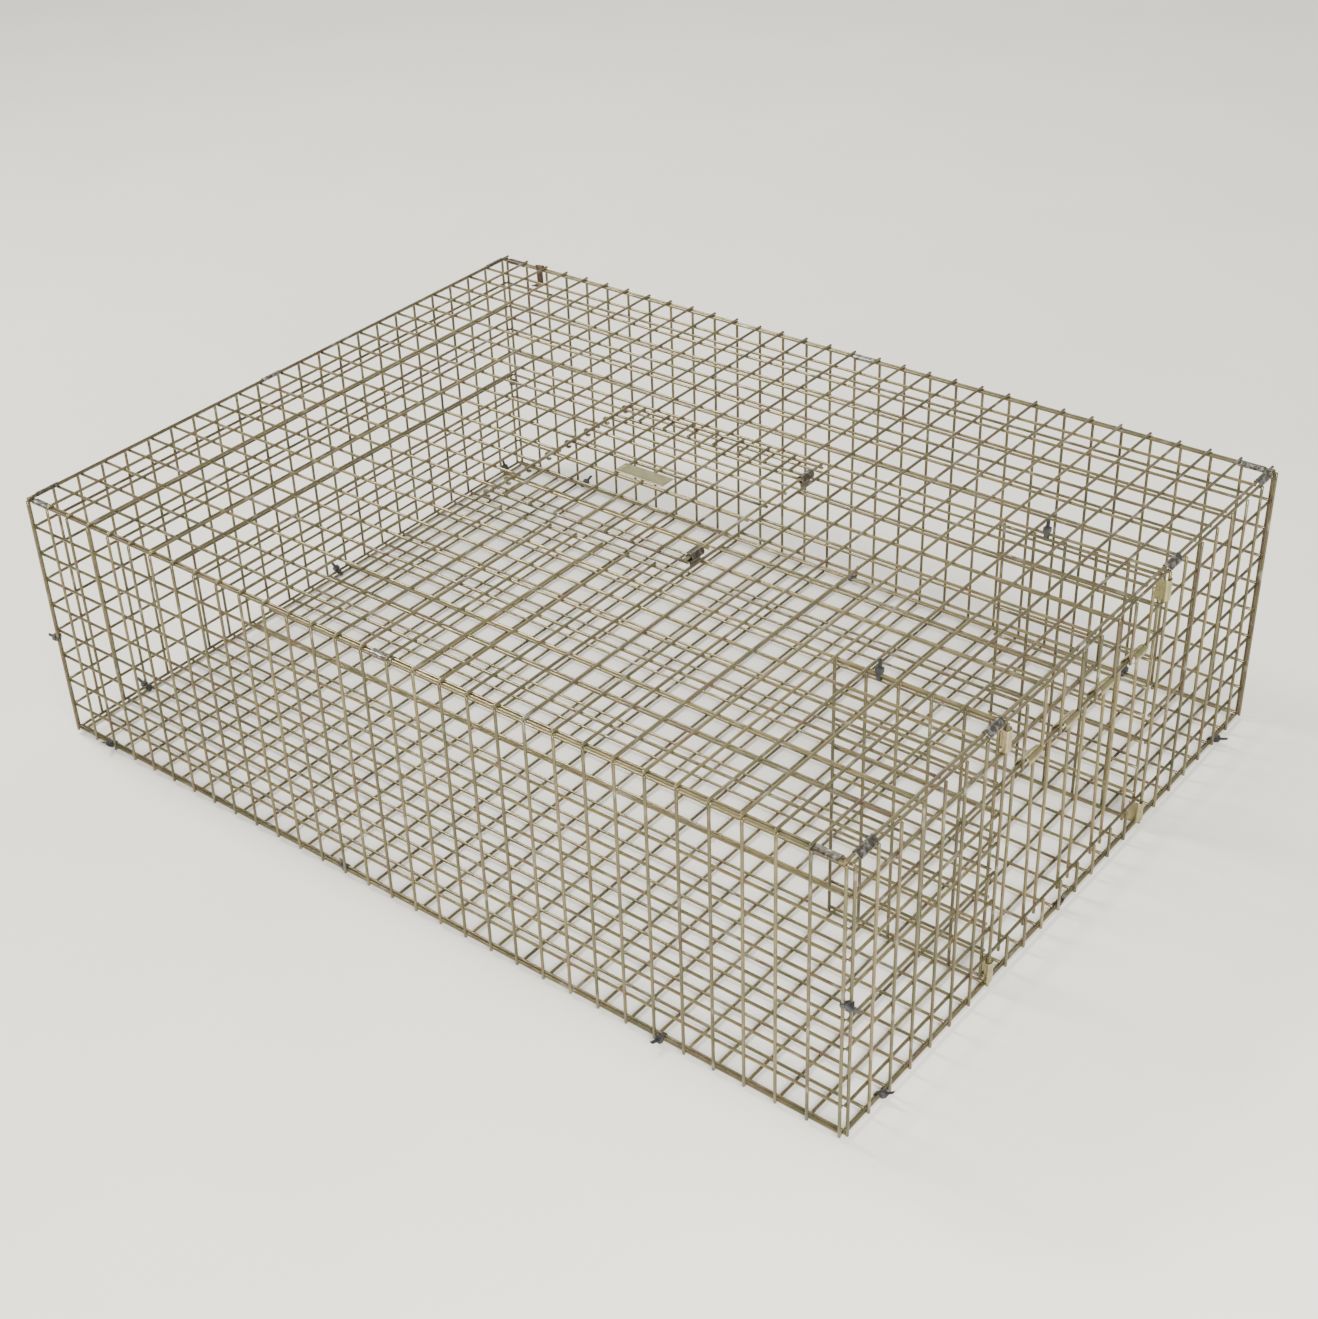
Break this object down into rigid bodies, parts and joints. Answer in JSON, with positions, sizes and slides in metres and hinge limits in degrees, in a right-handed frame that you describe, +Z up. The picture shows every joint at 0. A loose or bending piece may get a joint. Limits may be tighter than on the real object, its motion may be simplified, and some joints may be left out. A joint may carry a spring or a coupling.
{
  "type": "folding crab trap",
  "caption": "Flat box trap of gold zinc welded wire mesh with swinging one-way gates in a tunnel entrance, a hinged roof door, sheet clips and cable ties.",
  "frame": {"origin": "middle of the footprint, on the surface that the trap stands on", "axes": "+X towards the entrance wall, +Y towards the back long wall, +Z up"},
  "size_m": [0.8078, 0.6046, 0.2428],
  "materials": {
    "gold_zinc_wire": "gold chromate zinc plating, mottled",
    "gold_zinc_sheet": "pale gold chromate zinc plating",
    "silver_zinc_sheet": "bright zinc plating",
    "black_nylon": "satin moulded nylon",
    "rusty_steel": "rusted",
    "pale_gold_tag": "satin, blank"
  },
  "bodies": {
    "floor": {"floor_panel": "gold_zinc_wire", "tie_front_1": "black_nylon", "tie_front_2": "black_nylon", "tie_front_3": "black_nylon", "tie_back_1": "black_nylon", "tie_back_2": "black_nylon", "tie_back_3": "black_nylon", "tie_left_1": "black_nylon", "tie_left_2": "black_nylon", "tie_left_3": "black_nylon", "tie_entrance_1": "black_nylon", "tie_entrance_2": "black_nylon", "tie_entrance_3": "black_nylon"},
    "front_wall": {"front_panel": "gold_zinc_wire", "corner_tie_front_left": "black_nylon", "corner_tie_front_right": "black_nylon"},
    "back_wall": {"back_panel": "gold_zinc_wire", "corner_tie_back_left": "black_nylon"},
    "left_wall": {"left_panel": "gold_zinc_wire"},
    "entrance_wall": {"entrance_panel": "gold_zinc_wire", "tunnel_clip_1": "gold_zinc_sheet", "tunnel_clip_2": "gold_zinc_sheet", "tunnel_clip_3": "gold_zinc_sheet", "tunnel_clip_4": "gold_zinc_sheet"},
    "tunnel_front": {"tunnel_side_front": "gold_zinc_wire", "tunnel_tie_front": "black_nylon"},
    "tunnel_back": {"tunnel_side_back": "gold_zinc_wire", "tunnel_tie_back": "black_nylon"},
    "roof": {"roof_panel": "gold_zinc_wire", "roof_clip_front_1": "silver_zinc_sheet", "roof_clip_front_2": "silver_zinc_sheet", "roof_clip_front_3": "silver_zinc_sheet", "roof_clip_back_1": "silver_zinc_sheet", "roof_clip_back_2": "silver_zinc_sheet", "roof_clip_back_3": "silver_zinc_sheet", "roof_clip_left_1": "silver_zinc_sheet", "roof_clip_left_2": "silver_zinc_sheet", "roof_clip_left_3": "silver_zinc_sheet", "roof_hinge_clip_1": "silver_zinc_sheet", "roof_hinge_clip_2": "silver_zinc_sheet", "roof_hinge_clip_3": "silver_zinc_sheet", "roof_hinge_clip_4": "silver_zinc_sheet", "spare_hook": "rusty_steel"},
    "door": {"door_panel": "gold_zinc_wire", "door_knuckle_1": "gold_zinc_wire", "door_knuckle_2": "gold_zinc_wire", "door_knuckle_3": "gold_zinc_wire", "tag_plate": "pale_gold_tag"},
    "latch_front_body": {"latch_front": "silver_zinc_sheet"},
    "latch_back_body": {"latch_back": "silver_zinc_sheet"},
    "gate_1": {"gate_1_wire": "gold_zinc_wire", "gate_1_tab": "gold_zinc_sheet"},
    "gate_2": {"gate_2_wire": "gold_zinc_wire", "gate_2_tab": "gold_zinc_sheet"},
    "gate_3": {"gate_3_wire": "gold_zinc_wire", "gate_3_tab": "gold_zinc_sheet"},
    "gate_4": {"gate_4_wire": "gold_zinc_wire", "gate_4_tab": "gold_zinc_sheet"}
  },
  "joints": [
    {"name": "front_wall_fold", "type": "hinge", "parent": "floor", "child": "front_wall", "pos_m": [0, -0.297, 0.00445], "axis": [1, 0, 0], "range_deg": [0, 90]},
    {"name": "back_wall_fold", "type": "hinge", "parent": "floor", "child": "back_wall", "pos_m": [0, 0.297, 0.00445], "axis": [-1, 0, 0], "range_deg": [0, 90]},
    {"name": "left_wall_fold", "type": "hinge", "parent": "floor", "child": "left_wall", "pos_m": [-0.3986, 0, 0.00445], "axis": [0, -1, 0], "range_deg": [0, 90]},
    {"name": "entrance_wall_fold", "type": "hinge", "parent": "floor", "child": "entrance_wall", "pos_m": [0.3986, 0, 0.00445], "axis": [0, 1, 0], "range_deg": [0, 90]},
    {"name": "roof_lift", "type": "hinge", "parent": "entrance_wall", "child": "roof", "pos_m": [0.3986, 0, 0.23305], "axis": [0, 1, 0], "range_deg": [0, 90]},
    {"name": "tunnel_front_fold", "type": "hinge", "parent": "entrance_wall", "child": "tunnel_front", "pos_m": [0.39455, -0.1143, 0.00445], "axis": [0, 0, 1], "range_deg": [0, 90]},
    {"name": "tunnel_back_fold", "type": "hinge", "parent": "entrance_wall", "child": "tunnel_back", "pos_m": [0.39455, 0.1143, 0.00445], "axis": [0, 0, -1], "range_deg": [0, 90]},
    {"name": "door_open", "type": "hinge", "parent": "roof", "child": "door", "pos_m": [-0.0889, 0, 0.2342], "axis": [0, -1, 0], "range_deg": [0, 105]},
    {"name": "latch_front_turn", "type": "hinge", "parent": "door", "child": "latch_front_body", "pos_m": [0.10998, -0.06604, 0.2391], "axis": [0, 1, 0], "range_deg": [0, 80]},
    {"name": "latch_back_turn", "type": "hinge", "parent": "door", "child": "latch_back_body", "pos_m": [0.10998, 0.07925, 0.2391], "axis": [0, 1, 0], "range_deg": [0, 80]},
    {"name": "gate_1_swing", "type": "hinge", "parent": "entrance_wall", "child": "gate_1", "pos_m": [0.39975, -0.07493, 0.18225], "axis": [0, 1, 0], "range_deg": [0, 80]},
    {"name": "gate_2_swing", "type": "hinge", "parent": "entrance_wall", "child": "gate_2", "pos_m": [0.39975, -0.02413, 0.18225], "axis": [0, 1, 0], "range_deg": [0, 80]},
    {"name": "gate_3_swing", "type": "hinge", "parent": "entrance_wall", "child": "gate_3", "pos_m": [0.39975, 0.02667, 0.18225], "axis": [0, 1, 0], "range_deg": [0, 80]},
    {"name": "gate_4_swing", "type": "hinge", "parent": "entrance_wall", "child": "gate_4", "pos_m": [0.39975, 0.07747, 0.18225], "axis": [0, 1, 0], "range_deg": [0, 80]}
  ]
}
